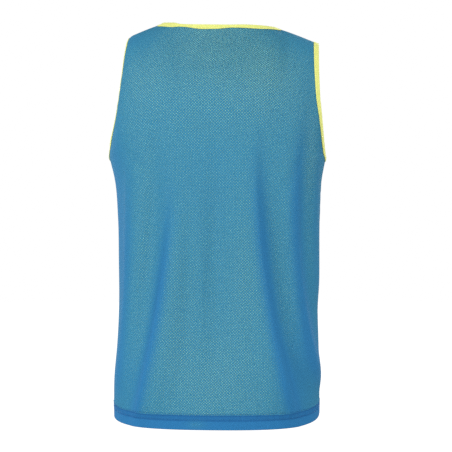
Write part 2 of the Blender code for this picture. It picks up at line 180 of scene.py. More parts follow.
CREASE_COLUMNS = ("panel", "x_top", "drop_top", "x_mid", "drop_mid", "x_low", "drop_low", "width", "height")
CREASES = (
    ("back", 0.010, 0.16, 0.006, 0.40, 0.012, 0.66, 0.016, -0.0036),
    ("back", -0.034, 0.22, -0.040, 0.42, -0.052, 0.64, 0.011, -0.0024),
    ("back", 0.043, 0.28, 0.046, 0.46, 0.058, 0.65, 0.011, 0.0024),
    ("back", -0.098, 0.17, -0.104, 0.35, -0.127, 0.57, 0.015, -0.0062),
    ("back", 0.112, 0.24, 0.118, 0.38, 0.134, 0.55, 0.009, -0.0014),
    ("back", -0.149, 0.22, -0.151, 0.33, -0.150, 0.44, 0.005, 0.0020),
    ("back", -0.168, 0.215, -0.130, 0.250, -0.095, 0.300, 0.008, -0.0012),
    ("back", 0.168, 0.210, 0.140, 0.255, 0.112, 0.315, 0.009, -0.0014),
    ("back", 0.132, 0.42, 0.140, 0.52, 0.158, 0.64, 0.007, 0.0018),
    ("back", 0.176, 0.14, 0.177, 0.23, 0.174, 0.35, 0.008, 0.0026),
    ("back", -0.016, 0.34, -0.018, 0.50, -0.022, 0.66, 0.007, 0.0013),
    ("back", 0.105, 0.56, 0.118, 0.61, 0.124, 0.665, 0.006, 0.0010),
    ("back", -0.080, 0.05, -0.020, 0.075, 0.050, 0.062, 0.012, -0.0008),
    ("back", -0.088, 0.618, -0.092, 0.640, -0.093, 0.662, 0.0030, 0.0011),
    ("back", -0.076, 0.630, -0.079, 0.646, -0.080, 0.664, 0.0025, -0.0009),
    ("back", -0.066, 0.600, -0.070, 0.630, -0.072, 0.660, 0.0035, 0.0009),
    ("back", 0.126, 0.610, 0.130, 0.635, 0.131, 0.662, 0.0030, 0.0011),
    ("back", 0.072, 0.590, 0.078, 0.625, 0.080, 0.660, 0.0040, -0.0010),
    ("front", 0.000, 0.20, -0.008, 0.42, 0.004, 0.64, 0.016, -0.0020),
    ("front", -0.042, 0.24, -0.050, 0.42, -0.060, 0.63, 0.012, 0.0012),
    ("front", 0.050, 0.28, 0.046, 0.45, 0.060, 0.62, 0.012, -0.0014),
    ("front", -0.120, 0.24, -0.124, 0.38, -0.140, 0.58, 0.010, -0.0018),
    ("front", 0.126, 0.22, 0.132, 0.36, 0.146, 0.56, 0.010, -0.0016),
    ("front", -0.160, 0.215, -0.120, 0.245, -0.080, 0.290, 0.009, -0.0014),
    ("front", 0.162, 0.212, 0.124, 0.250, 0.086, 0.300, 0.009, -0.0013),
    ("front", -0.060, 0.130, 0.000, 0.170, 0.058, 0.138, 0.012, -0.0012),
)
CREASE_POINTS = 24
CREASE_REACH = 0.12
CREASE_FADE = 0.8
CORNER_PASSES = 40
CORNER_SPREAD = 0.16
PUCKER_HEIGHT = 0.0004
PUCKER_UP = 0.026
PUCKER_REACH = 0.012
# Size, radians in a metre, start
PUCKER_WAVES = ((1.0, 430, 0.0), (0.7, 291, 1.3), (0.5, 667, 4.0))
SEAM_DITCH = 0.0009
SEAM_DITCH_WIDTH = 0.0035
# Shares of the way up the armhole: where a change of the left edge starts, and how much it takes
ROLL_RISE = (0.15, 0.35)
ROLL_OVER = (0.6, 0.4)
print("large folds:", len(FOLDS), "creases:", len(CREASES))

# %% [markdown]
# From sizes to a surface
#
# A worn vest is level rings below the arms, half rings beside the armholes, and a yoke that rises to the
# shoulder seams and the neckline. A cubic between two edges, leaving each along a given pull, makes the
# yoke round over the shoulders as cloth does.

# %% Curves and sections
DIP_FROM = 0.45
EDGE_SLOPE_LOW, EDGE_SLOPE_HIGH = 0.004, 0.012


def hermite(start, start_pull, end, end_pull, s):
    """The cubic from start to end that leaves and arrives along the two pulls."""
    return (
        (2 * s**3 - 3 * s**2 + 1) * start
        + (s**3 - 2 * s**2 + s) * start_pull
        + (3 * s**2 - 2 * s**3) * end
        + (s**3 - s**2) * end_pull
    )


def eased(share):
    """A soft step from 0 at share 0 to 1 at share 1."""
    share = np.clip(share, 0, 1)
    return share * share * (3 - 2 * share)


def unit(ways):
    return ways / np.linalg.norm(ways, axis=-1, keepdims=True)


def run_along(points):
    """Distance from the first point of a line to each point."""
    return np.concatenate([[0.0], np.cumsum(np.linalg.norm(np.diff(points, axis=0), axis=1))])


def bell(off, width):
    """A bell curve: 1 where off is 0, and nearly 0 at twice the width."""
    return np.exp(-((off / width) ** 2))


def ring_value(column, drop):
    """A smooth curve down one column of RINGS, with slopes taken from the neighbouring rows."""
    places = np.array([row[0] for row in RINGS])
    values = np.array([row[RING_COLUMNS.index(column)] for row in RINGS])
    slopes = np.gradient(values, places)
    k = int(np.clip(np.searchsorted(places, drop) - 1, 0, len(places) - 2))
    span = places[k + 1] - places[k]
    s = (drop - places[k]) / span
    return float(hermite(values[k], slopes[k] * span, values[k + 1], slopes[k + 1] * span, s))


def evenly_spaced(points, shares):
    """Points at the given shares of a dense line's length."""
    steps = np.linalg.norm(np.diff(points, axis=0), axis=1)
    along = np.concatenate([[0.0], np.cumsum(steps)]) / steps.sum()
    return np.stack([np.interp(shares, along, points[:, axis]) for axis in range(3)], axis=1)


def arc_section(panel, edges, depth, edge_depth, curls, drops):
    """One section from the left edge to the right edge: part of a squared ellipse that turns by each curl."""
    turn = np.linspace(-1, 1, 801)
    curl = np.radians(np.where(turn < 0, curls[0], curls[1]))
    angle = turn * curl
    power = 2 / SQUARENESS
    across = np.abs(np.sin(angle)) ** power / np.sin(curl) ** power
    fall = (1 - np.clip(np.cos(angle), 0, 1) ** power) / (1 - np.clip(np.cos(curl), 0, 1) ** power)
    x = np.where(turn < 0, edges[0], edges[1]) * across
    y = panel["sign"] * (depth - (depth - edge_depth) * fall)
    middle_drop, edge_drop = drops
    z = -(middle_drop + (edge_drop - middle_drop) * np.abs(turn) ** DIP_POWER)
    return np.stack([x, y, z], axis=1)


def body_section(panel, drop):
    """A level half ring between the side seams. The back hem hangs a little lower in its middle."""
    edges = -ring_value("left", drop), ring_value("right", drop)
    depth = ring_value("back" if panel["sign"] < 0 else "front", drop)
    low = np.clip((drop - DIP_FROM) / (BODY_LENGTH - DIP_FROM), 0, 1) ** 2
    dip = BACK_HEM_DIP * low if panel["sign"] < 0 else 0
    return arc_section(panel, edges, depth, 0.0, (90, 90), (drop + dip, drop))


def arm_section(panel, share):
    """A section beside the armholes, from the underarm at share 0 to half way up the armhole at share 1."""
    turn = math.radians(90 * share)
    edge_depth = panel["edge_depth"] * math.sin(turn)
    edge_drop = UNDERARM_DROP - (UNDERARM_DROP - HALF_ARMHOLE_DROP) * (1 - math.cos(turn))
    middle_drop = UNDERARM_DROP + (panel["yoke_drop"] - UNDERARM_DROP) * share
    edges = (
        hermite(-ring_value("left", UNDERARM_DROP), EDGE_SLOPE_LOW, panel["left_edge"], EDGE_SLOPE_HIGH,
                share),
        hermite(ring_value("right", UNDERARM_DROP), -EDGE_SLOPE_LOW, panel["right_edge"], -EDGE_SLOPE_HIGH,
                share),
    )
    ring_depth = ring_value("back" if panel["sign"] < 0 else "front", UNDERARM_DROP)
    depth = ring_depth + (panel["yoke_depth"] - ring_depth) * share
    curls = 90 + (panel["left_curl"] - 90) * share, 90 + (panel["right_curl"] - 90) * share
    return arc_section(panel, edges, depth, edge_depth, curls, (middle_drop, edge_drop))


print("half ring at the underarm:", round(float(-ring_value("left", UNDERARM_DROP)), 4), "to",
      round(float(ring_value("right", UNDERARM_DROP)), 4))

# %% [markdown]
# The shoulders and the neckline
#
# The top edge of each panel is a shoulder seam, the neckline and the other shoulder seam. Near the
# corners of the neck the columns of the grid fan out sideways, so that they don't bunch up there.

# %% Top edge and yoke
SHOULDER_FROM, SHOULDER_PAST = 0.30, 0.06
JUST_BELOW = 0.97


def column_shares():
    """Where the columns stand, from -1 at the left edge to 1 at the right edge."""
    neck = np.linspace(-NECK_SHARE, NECK_SHARE, NECK_STEPS + 1)
    shoulder = np.linspace(NECK_SHARE, 1, SHOULDER_STEPS + 1)[1:]
    return np.concatenate([-shoulder[::-1], neck, shoulder])


def top_edge(panel, columns):
    """The shoulder seams and the neckline, a point for each column."""
    left, right = SHOULDERS["left"], SHOULDERS["right"]
    turn = np.radians(np.linspace(-90, 90, 801))
    middle, half = (left["neck_x"] + right["neck_x"]) / 2, (right["neck_x"] - left["neck_x"]) / 2
    lean = (np.sin(turn) + 1) / 2
    neck = np.stack([
        middle + half * np.sin(turn),
        panel["sign"] * panel["neck_reach"] * np.cos(turn),
        -(left["neck_drop"] + (right["neck_drop"] - left["neck_drop"]) * lean**NECK_LEAN)
        - panel["neck_fall"] * np.cos(turn) ** 1.5,
    ], axis=1)
    inside = np.abs(columns) <= NECK_SHARE + 1e-9
    points = np.zeros((len(columns), 3))
    points[inside] = evenly_spaced(neck, (columns[inside] / NECK_SHARE + 1) / 2)
    for seam, chosen in ((left, columns < -NECK_SHARE - 1e-9), (right, columns > NECK_SHARE + 1e-9)):
        out = (np.abs(columns[chosen]) - NECK_SHARE) / (1 - NECK_SHARE)
        points[chosen, 0] = seam["neck_x"] + (seam["tip_x"] - seam["neck_x"]) * out
        points[chosen, 2] = -(seam["neck_drop"] + (seam["tip_drop"] - seam["neck_drop"]) * out**1.15)
    return points


def leaving_ways(panel, columns):
    """The way each column leaves the top edge. Near the neck's corners the columns fan out sideways."""
    side, size = np.sign(columns), np.abs(columns)
    turn = np.radians(90) * np.clip(size / NECK_SHARE, 0, 1)
    width = SHOULDERS["right"]["neck_x"]
    fan = FAN * np.arctan2(np.sin(turn) / width, np.cos(turn) / panel["neck_reach"])
    fan *= np.clip((1 - size) / (1 - NECK_SHARE), 0, 1) ** 1.5
    falls = {name: (seam["tip_drop"] - seam["neck_drop"]) / abs(seam["tip_x"] - seam["neck_x"])
             for name, seam in SHOULDERS.items()}
    sideways = np.where(side < 0, falls["left"], falls["right"]) * np.clip(size / NECK_SHARE, 0, 1)
    shoulder = eased((size - SHOULDER_FROM) / (NECK_SHARE + SHOULDER_PAST - SHOULDER_FROM))
    slope = np.radians(panel["neck_slope"] + (SHOULDER_SLOPE - panel["neck_slope"]) * shoulder)
    ways = np.stack([
        side * np.sin(fan),
        panel["sign"] * np.cos(fan),
        -(np.sin(fan) * sideways + np.cos(fan) * np.tan(slope)),
    ], axis=1)
    nearness = bell(columns[:, None] - columns, WAY_SPREAD)
    return unit(nearness @ unit(ways))


def yoke_row(top, ways, low, low_direction, share):
    """A row between the top edge at share 0 and half way up the armhole at share 1."""
    reach = np.linalg.norm(low - top, axis=1)[:, None]
    return hermite(top, ways * reach * TOP_PULL, low, low_direction * reach * LOW_PULL, share)


def row_sections(panel, columns):
    """Every row of a panel from the hem up, and the index of the underarm's row."""
    shares = (columns + 1) / 2
    band = BODY_LENGTH - HEM_DEPTH
    drops = [*np.linspace(BODY_LENGTH, band, HEM_STEPS + 1), band - HEM_STEP,
             *np.linspace(band - HEM_STEP, UNDERARM_DROP, BODY_STEPS)[1:]]
    rows = [evenly_spaced(body_section(panel, drop), shares) for drop in drops]
    underarm_row = len(rows) - 1
    for share in np.linspace(0, 1, ARM_STEPS + 1)[1:]:
        rows.append(evenly_spaced(arm_section(panel, share), shares))
    low_direction = rows[-1] - evenly_spaced(arm_section(panel, JUST_BELOW), shares)
    low_direction *= -1 / np.linalg.norm(low_direction, axis=1)[:, None]
    top, ways, low = top_edge(panel, columns), leaving_ways(panel, columns), rows[-1]
    for share in np.linspace(1, 0, YOKE_STEPS + 1)[1:]:
        rows.append(yoke_row(top, ways, low, low_direction, share))
    return np.array(rows), underarm_row


print("neckline at the back:", len(top_edge(PANELS["back"], column_shares())), "points")

# %% [markdown]
# Lifting the folds
#
# Folds and creases are heights over the smooth surface, moved along its normals. A large fold's height
# falls off quickly on its steep side and slowly on its easy side. A crease is measured from its own bent
# line over the panel, and fades out at both ends. The cloth is held along the sewn seams, where small
# puckers and a shallow ditch show the pull of the thread. Beside the left armhole the cloth rolls under.

# %% Heights and normals
def table_rows(columns, table, name):
    """The rows of a table that belong to a panel, with the columns' names."""
    return [dict(zip(columns, row)) for row in table if row[0] == name]


def bent_line(row, axis):
    """The top, middle and low places of a row along an axis, x or drop."""
    return [row[f"{axis}_{part}"] for part in ("top", "mid", "low")]


def placed_folds(name, x, drop):
    """Each fold of a panel, with how far points lie on its steep side and how grown it is there."""
    for fold in table_rows(FOLD_COLUMNS, FOLDS, name):
        crest = np.polyval(np.polyfit(bent_line(fold, "drop"), bent_line(fold, "x"), 2), drop)
        grown = eased((drop - fold["drop_top"]) / FOLD_FADE)
        grown = grown * (1 - eased((drop - fold["drop_low"]) / LOW_FADE))
        yield fold, (x - crest) * fold["steep"], grown


def fold_height(name, x, drop):
    """How far the large folds lift the cloth at each point."""
    lift = np.zeros_like(x)
    for fold, off, grown in placed_folds(name, x, drop):
        width = np.where(off > 0, fold["steep_width"] * STEEPER, fold["easy_width"])
        lift += fold["height"] * grown * bell(off, width)
    near_hem = np.clip((drop - (BODY_LENGTH - HOLD_REACH)) / HOLD_REACH, 0, 1)
    return lift * (1 - (1 - HEM_HOLD) * near_hem**2)


def flank_marks(name, x, drop):
    """Where the steep side of a large fold turns the cloth away and pushes its mesh together."""
    marks = np.zeros_like(x)
    for fold, off, grown in placed_folds(name, x, drop):
        width = fold["steep_width"] * STEEPER
        strong = min(fold["height"] / FULL_FLANK, 1)
        marks += strong * grown * bell(off - width * FLANK_MIDDLE, width)
    return np.clip(marks, 0, 1)


def crease_height(name, x, drop):
    """How far the creases of a panel lift or sink the cloth at each point."""
    lift = np.zeros_like(x)
    along = np.linspace(0, 1, CREASE_POINTS)
    for crease in table_rows(CREASE_COLUMNS, CREASES, name):
        line_x, line_drop = (
            np.polyval(np.polyfit([0, 0.5, 1], bent_line(crease, axis), 2), along) for axis in ("x", "drop"))
        near = np.abs(x - crease["x_mid"]) < CREASE_REACH
        away = np.hypot(x[near][:, None] - line_x, drop[near][:, None] - line_drop)
        fade = np.sin(np.pi * along[away.argmin(axis=1)]) ** CREASE_FADE
        lift[near] += crease["height"] * fade * bell(away.min(axis=1), crease["width"])
    return lift


def surface_normals(points, sign, columns, underarm_row):
    """Outward normals of a grid. At the seams they lie in the seam plane, where both panels meet."""
    normals = np.cross(np.gradient(points, axis=1), np.gradient(points, axis=0))
    normals = unit(normals) * -sign
    normals[: underarm_row + 1, (0, -1), 1] = 0
    normals[-1, np.abs(columns) >= NECK_SHARE - 1e-9, 1] = 0
    return unit(normals)


def roll_left_edge(panel, points, normals, underarm_row):
    """Bend the last of the cloth under along the left armhole, the same on both panels at the shoulder."""
    rows = len(points) - 1 - underarm_row
    for i in range(underarm_row + 1, len(points)):
        up = (i - underarm_row) / rows
        rise, over = (eased((up - start) / takes) for start, takes in (ROLL_RISE, ROLL_OVER))
        bend = math.radians(panel["left_roll"] * rise * (1 - over) + SHOULDER_ROLL * over)
        if bend < 0.01:
            continue
        from_edge = run_along(points[i])
        start = int(np.searchsorted(from_edge, ROLL_WIDTH))
        width = from_edge[start]
        foot, out = points[i, start].copy(), normals[i, start]
        toward = points[i, start - 1] - points[i, start]
        toward -= out * (toward @ out)
        toward /= np.linalg.norm(toward)
        for j in range(start):
            turn = bend * (width - from_edge[j]) / width
            reach, sink = width / bend * math.sin(turn), width / bend * (1 - math.cos(turn))
            points[i, j] = foot + toward * reach - out * sink
    return points


def lengths_along(points, axis):
    """Distance run from the first row or column, for each point of a grid."""
    steps = np.linalg.norm(np.diff(points, axis=axis), axis=2)
    run = np.cumsum(steps, axis=axis)
    first = np.zeros_like(np.take(run, [0], axis=axis))
    return np.concatenate([first, run], axis=axis)


def sewing_height(points, underarm_row):
    """Small puckers above the hem, and a ditch along the side seams and the shoulder seams."""
    across, up = lengths_along(points, 1), lengths_along(points, 0)
    wave = sum(size * np.sin(across * pace + start) for size, pace, start in PUCKER_WAVES)
    puckers = PUCKER_HEIGHT * wave * bell(up - PUCKER_UP, PUCKER_REACH)
    beside = np.minimum(across, across[:, -1:] - across)
    ditch = -SEAM_DITCH * bell(beside, SEAM_DITCH_WIDTH)
    ditch[underarm_row:] = 0
    return puckers + ditch


def evened_corners(points, columns, underarm_row):
    """Smooth the cloth under the corners of the neck, where the columns of the grid crowd together."""
    rows = np.arange(len(points))
    near = bell(np.abs(columns) - NECK_SHARE, CORNER_SPREAD)[None, 1:-1]
    high = eased((rows - underarm_row) / (len(points) - 1 - underarm_row))[1:-1, None]
    share = (near * high / 2)[:, :, None]
    for _ in range(CORNER_PASSES):
        around = (points[:-2, 1:-1] + points[2:, 1:-1] + points[1:-1, :-2] + points[1:-1, 2:]) / 4
        points[1:-1, 1:-1] += (around - points[1:-1, 1:-1]) * share
    return points


def panel_surface(name):
    """Points and outward normals of a panel's outer face, from the hem up, left edge to right edge."""
    panel = PANELS[name]
    sign = panel["sign"]
    columns = column_shares()
    points, underarm_row = row_sections(panel, columns)
    points = evened_corners(points, columns, underarm_row)
    normals = surface_normals(points, sign, columns, underarm_row)
    from_seam = np.clip(np.abs(points[:, :, 1]) / SEAM_FADE, 0, 1)
    x, drop = points[:, :, 0], -points[:, :, 2]
    lift = (fold_height(name, x, drop) + crease_height(name, x, drop)) * from_seam
    lift += sewing_height(points, underarm_row)
    points = points + normals * lift[:, :, None]
    normals = surface_normals(points, sign, columns, underarm_row)
    points = roll_left_edge(panel, points, normals, underarm_row)
    normals = surface_normals(points, sign, columns, underarm_row)
    return {"points": points, "normals": normals, "columns": columns, "underarm_row": underarm_row}


SURFACES = {name: panel_surface(name) for name in PANELS}
for panel_name, surface in SURFACES.items():
    print(panel_name, "surface:", surface["points"].shape[:2],
          np.round(surface["points"].min(axis=(0, 1)), 3), np.round(surface["points"].max(axis=(0, 1)), 3))

# %% [markdown]
# Grids as meshes
#
# Each sheet of cloth is a grid of points turned into quads. Its UV map is the flat cloth itself, in
# metres, so a pattern of holes keeps its real size. The unwrap finds that flat shape from the curved one,
# much as a pattern cutter would, and it is then turned upright and brought to real size.

# %% Grid meshes
CLOTH_UV = "Flat cloth"


def grid_faces(rows, columns, closed=False):
    """Corner numbers of a grid's quads, with points along each row. A closed grid joins its rows' ends."""
    wide = columns if closed else columns - 1
    i, j = np.meshgrid(np.arange(rows - 1), np.arange(wide), indexing="ij")
    after, low, high = (j + 1) % columns, i * columns, (i + 1) * columns
    return np.stack([low + j, low + after, high + after, high + j], axis=2).reshape(-1, 4)


def mesh_corners(mesh):
    """The point number of each face corner."""
    corners = np.zeros(len(mesh.loops), np.int32)
    mesh.loops.foreach_get("vertex_index", corners)
    return corners


def cloth_object(name, points, faces, flat, material):
    """A smooth mesh object, with a flat place in metres for each point as its UV map."""
    mesh = bpy.data.meshes.new(name)
    mesh.from_pydata(points, [], faces)
    layer = mesh.uv_layers.new(name=CLOTH_UV)
    layer.data.foreach_set("uv", flat[mesh_corners(mesh)].astype(np.float32).ravel())
    mesh.materials.append(material)
    mesh.shade_smooth()
    return add_object(name, mesh)


def grid_object(name, points, flat, material, closed=False, flip=False):
    """A sheet through a grid of points."""
    faces = grid_faces(*points.shape[:2], closed)
    if flip:
        faces = faces[:, ::-1]
    return cloth_object(name, points.reshape(-1, 3).tolist(), faces.tolist(), flat.reshape(-1, 2), material)


def flat_places(points):
    """The flat shape of a curved grid, upright, in metres from the middle of its hem."""
    rows, columns = points.shape[:2]
    draft = grid_object("Draft", points, points[:, :, ::2], bpy.data.materials.new("Draft"))
    bpy.ops.object.select_all(action="DESELECT")
    bpy.context.view_layer.objects.active = draft
    draft.select_set(True)
    bpy.ops.object.mode_set(mode="EDIT")
    bpy.ops.mesh.select_all(action="SELECT")
    bpy.ops.uv.unwrap(method="CONFORMAL", margin=0)
    bpy.ops.object.mode_set(mode="OBJECT")
    mesh = draft.data
    found = np.zeros(len(mesh.loops) * 2, np.float32)
    mesh.uv_layers[CLOTH_UV].data.foreach_get("uv", found)
    flat = np.zeros((rows * columns, 2))
    flat[mesh_corners(mesh)] = found.reshape(-1, 2)
    flat = flat.reshape(rows, columns, 2)
    bpy.data.objects.remove(draft)
    up = flat[-1, columns // 2] - flat[0, columns // 2]
    up /= np.linalg.norm(up)
    flat = (flat - flat[0, columns // 2]) @ np.array([[up[1], up[0]], [-up[0], up[1]]])
    real = np.linalg.norm(np.diff(points, axis=1), axis=2).sum()
    flat *= real / np.linalg.norm(np.diff(flat, axis=1), axis=2).sum()
    if flat[0, -1, 0] < flat[0, 0, 0]:
        flat[:, :, 0] *= -1
    return flat


def flat_area(flat):
    """Area of a flat grid, in square metres."""
    a = flat[1:, 1:] - flat[:-1, :-1]
    b = flat[1:, :-1] - flat[:-1, 1:]
    return float(np.abs(a[:, :, 0] * b[:, :, 1] - a[:, :, 1] * b[:, :, 0]).sum() / 2)


FLATS = {name: flat_places(surface["points"]) for name, surface in SURFACES.items()}
CUTS = {}
for panel_name, flat in FLATS.items():
    size = flat.max(axis=(0, 1)) - flat.min(axis=(0, 1))
    CUTS[panel_name] = {"flat": (float(size[0]), float(size[1])), "area": flat_area(flat)}
    print(panel_name, "cut:", np.round(size, 3), "area", round(CUTS[panel_name]["area"], 3))

# %% [markdown]
# The mesh as a shader group
#
# Bib mesh is warp-knitted with round holes in staggered rows, like bricks. Two square lattices of
# circles, the second shifted by half a cell both ways, make exactly that. The group gives a mask of the
# holes, a rounded height for the yarn between them, and a soft unevenness for the colour.

# %% Mesh group
CELL = 0.00485
HOLE_RADIUS = 0.124
# In cells: the soft edge of a hole, the reach of its rounded rim, half a cell, and ribs of yarn in a cell
HOLE_EDGE = 0.015
RIM_REACH = 0.16
HALF_CELL = (0.5, 0.5, 0.0)
RIBS_IN_CELL = (6.0, 6.0, 0.0)
RIB_HEIGHT = 0.06
SMALLEST_HOLE, HOLE_WOBBLE = 0.9, 0.2


def new_group(name, inputs, outputs):
    group = bpy.data.node_groups.new(name, "ShaderNodeTree")
    for socket, kind, value in inputs:
        made = group.interface.new_socket(socket, in_out="INPUT", socket_type=kind)
        if value is not None:
            made.default_value = value
    for socket, kind in outputs:
        group.interface.new_socket(socket, in_out="OUTPUT", socket_type=kind)
    return group, group.nodes.new("NodeGroupInput"), group.nodes.new("NodeGroupOutput")


def feed(tree, socket, value):
    """Link another node's socket to this one, or set its own value."""
    if isinstance(value, bpy.types.NodeSocket):
        tree.links.new(value, socket)
    elif value is not None:
        socket.default_value = value


def math_node(tree, operation, first, second=None, third=None):
    node = tree.nodes.new("ShaderNodeMath")
    node.operation = operation
    for socket, value in zip(node.inputs, (first, second, third)):
        feed(tree, socket, value)
    return node.outputs[0]


def vector_node(tree, operation, first, second=None, scale=None):
    node = tree.nodes.new("ShaderNodeVectorMath")
    node.operation = operation
    for socket, value in zip(node.inputs, (first, second)):
        feed(tree, socket, value)
    if scale is not None:
        feed(tree, node.inputs["Scale"], scale)
    return node.outputs["Value" if operation in ("LENGTH", "DOT_PRODUCT") else "Vector"]


def smooth_range(tree, value, low, high, to_low=0.0, to_high=1.0):
    """A soft step of a value from low to high."""
    node = tree.nodes.new("ShaderNodeMapRange")
    node.interpolation_type = "SMOOTHSTEP"
    for name, given in (("Value", value), ("From Min", low), ("From Max", high),
                        ("To Min", to_low), ("To Max", to_high)):
        feed(tree, node.inputs[name], given)
    return node.outputs["Result"]


def noise(tree, vector, scale, detail=2.0, roughness=0.5):
    node = tree.nodes.new("ShaderNodeTexNoise")
    node.inputs["Scale"].default_value = scale
    node.inputs["Detail"].default_value = detail
    node.inputs["Roughness"].default_value = roughness
    tree.links.new(vector, node.inputs["Vector"])
    return node.outputs["Fac"]


def build_mesh_group():
    group, given, out = new_group(
        "Bib mesh",
        [("Flat cloth", "NodeSocketVector", None), ("Hole radius", "NodeSocketFloat", HOLE_RADIUS),
         ("Shift", "NodeSocketVector", (0, 0, 0))],
        [("Hole", "NodeSocketFloat"), ("Height", "NodeSocketFloat"), ("Unevenness", "NodeSocketFloat")],
    )
    place = given.outputs["Flat cloth"]
    cells = vector_node(group, "SCALE", place, scale=1 / CELL)
    cells = vector_node(group, "ADD", cells, given.outputs["Shift"])
    distances = []
    for offset in ((0.0, 0.0, 0.0), HALF_CELL):
        moved = vector_node(group, "ADD", cells, offset)
        within = vector_node(group, "FRACTION", moved)
        centred = vector_node(group, "SUBTRACT", within, HALF_CELL)
        flattened = vector_node(group, "MULTIPLY", centred, (1.0, 1.0, 0.0))
        distances.append(vector_node(group, "LENGTH", flattened))
    nearest = math_node(group, "MINIMUM", distances[0], distances[1])
    uneven = noise(group, place, 55, 3)
    wobble = noise(group, place, 900, 1)
    radius = math_node(group, "MULTIPLY", given.outputs["Hole radius"],
                       math_node(group, "MULTIPLY_ADD", wobble, HOLE_WOBBLE, SMALLEST_HOLE))
    inner = math_node(group, "SUBTRACT", radius, HOLE_EDGE)
    outer = math_node(group, "ADD", radius, HOLE_EDGE)
    hole = smooth_range(group, nearest, inner, outer, 1.0, 0.0)
    rim = math_node(group, "ADD", radius, RIM_REACH)
    yarn = smooth_range(group, nearest, inner, rim)
    ribs = math_node(group, "SINE", math_node(group, "MULTIPLY", vector_node(
        group, "DOT_PRODUCT", cells, RIBS_IN_CELL), math.tau))
    height = math_node(group, "MULTIPLY_ADD", ribs, RIB_HEIGHT, yarn)
    group.links.new(hole, out.inputs["Hole"])
    group.links.new(height, out.inputs["Height"])
    group.links.new(uneven, out.inputs["Unevenness"])
    return group


MESH_GROUP = build_mesh_group()
print("mesh group:", len(MESH_GROUP.nodes), "nodes, cell", CELL * 1000, "mm")

# %% [markdown]
# The finishes
#
# Blue mesh: matt polyester, cut through by its holes, except in the hem, where a second layer lies
# behind them and the holes are painted darker as that layer's shade. It is darker where the net has
# closed, as at the flanks, and in the hem a painted shade runs along the rows of stitching and between
# them. Yellow mesh: the same knit, with its holes only darker, because nothing but shade is behind
# them. Its outer face is greener, since all the light on it has come through the blue. Yellow tape: a
# close knit with fine ribs. Thread: small and slightly shiny.

# %% Materials
BLUE = (0.024, 0.168, 0.380)
BLUE_DEEP = (0.020, 0.132, 0.310)
BLUE_OVER_YELLOW = (0.040, 0.214, 0.336)
# Painted shade along the rows of stitching in the hem
BLUE_STITCH_SHADE = (0.012, 0.092, 0.255)
YELLOW = (0.820, 0.850, 0.160)
YELLOW_DEEP = (0.560, 0.630, 0.110)
SHADED_YELLOW = (0.420, 0.700, 0.450)
SHADED_YELLOW_DEEP = (0.150, 0.360, 0.230)
TAPE_YELLOW = (0.770, 0.790, 0.230)
TAPE_YELLOW_DEEP = (0.690, 0.720, 0.200)
CLOTH_ROUGHNESS = 0.70
BLUE_GLOSS = 0.06
EVEN_SHARE, OVER_YELLOW_SHARE = 0.65, 0.75
# Share of painted shade in the uncut holes of the hem
HOLE_SHADE = 0.35
CLOSED_SHARE = 0.8
KNIT_BUMP, KNIT_BUMP_DEPTH = 0.35, 0.0004
TAPE_RIBS, TAPE_WEFTS = (1100.0, 0.0, 0.0), (0.0, 1500.0, 0.0)
LINING_SHIFT = (0.31, 0.17, 0)


def new_material(name, roughness, sheen, gloss=0.25):
    material = bpy.data.materials.new(name)
    material.use_nodes = True
    shader = material.node_tree.nodes["Principled BSDF"]
    shader.inputs["Roughness"].default_value = roughness
    shader.inputs["Specular IOR Level"].default_value = gloss
    shader.inputs["Sheen Weight"].default_value = sheen
    shader.inputs["Sheen Roughness"].default_value = 0.4
    return material, material.node_tree, shader


def uv_node(tree):
    node = tree.nodes.new("ShaderNodeUVMap")
    node.uv_map = CLOTH_UV
    return node.outputs["UV"]


def marks_node(tree, name):
    node = tree.nodes.new("ShaderNodeAttribute")
    node.attribute_name = name
    return node.outputs["Fac"]


def colour_mix(tree, share, first, second):
    node = tree.nodes.new("ShaderNodeMix")
    node.data_type = "RGBA"
    feed(tree, node.inputs["Factor"], share)
    for name, value in (("A", first), ("B", second)):
        socket = next(s for s in node.inputs if s.name == name and s.type == "RGBA")
        feed(tree, socket, (*value, 1) if isinstance(value, tuple) else value)
    return next(s for s in node.outputs if s.type == "RGBA")


def add_bump(tree, shader, height, strength, distance):
    bump = tree.nodes.new("ShaderNodeBump")
    bump.inputs["Strength"].default_value = strength
    bump.inputs["Distance"].default_value = distance
    tree.links.new(height, bump.inputs["Height"])
    tree.links.new(bump.outputs["Normal"], shader.inputs["Normal"])


def mesh_nodes(tree, radius, shift):
    """The mesh group in a material, fed by the flat cloth and by how far the cloth is stretched."""
    node = tree.nodes.new("ShaderNodeGroup")
    node.node_tree = MESH_GROUP
    node.inputs["Shift"].default_value = shift
    tree.links.new(uv_node(tree), node.inputs["Flat cloth"])
    stretched = math_node(tree, "MULTIPLY_ADD", marks_node(tree, "stretch"), radius, radius)
    tree.links.new(stretched, node.inputs["Hole radius"])
    return node


